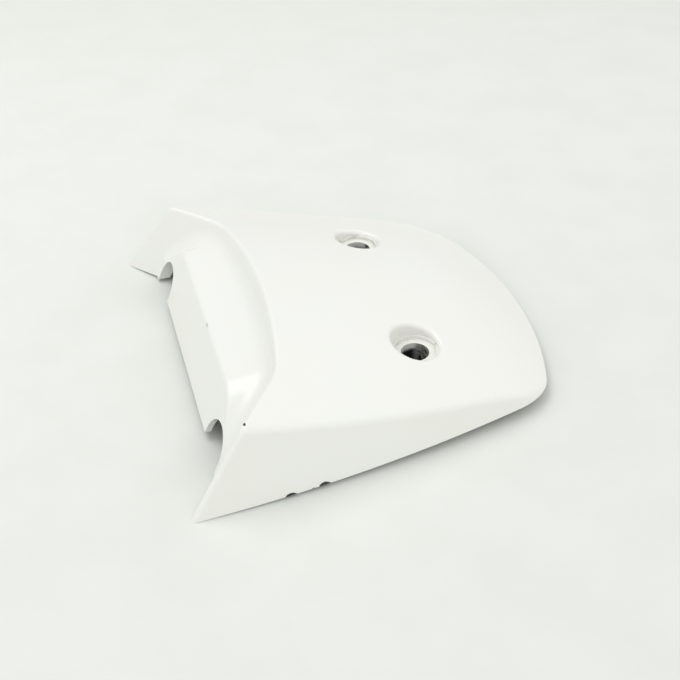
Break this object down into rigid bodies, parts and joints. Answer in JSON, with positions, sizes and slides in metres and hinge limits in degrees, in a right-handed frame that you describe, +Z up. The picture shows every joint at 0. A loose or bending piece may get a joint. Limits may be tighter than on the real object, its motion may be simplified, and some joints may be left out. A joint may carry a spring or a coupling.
{
  "type": "motorcycle rear fender",
  "caption": "Moulded motorcycle tail cover with a crowned, sloping top, a scooped front with a step between pointed wings, arched notches and recessed screw holes.",
  "frame": {"origin": "bottom centre of the cover's box, in the plane that the front tips and the boss feet stand on", "axes": "+X to the rear, +Y to the right, +Z up"},
  "size_m": [0.1774, 0.1898, 0.0424],
  "materials": {
    "white_paint": "smooth gloss paint over black plastic"
  },
  "bodies": {
    "root": {"tail_cover": "white_paint"}
  },
  "joints": []
}
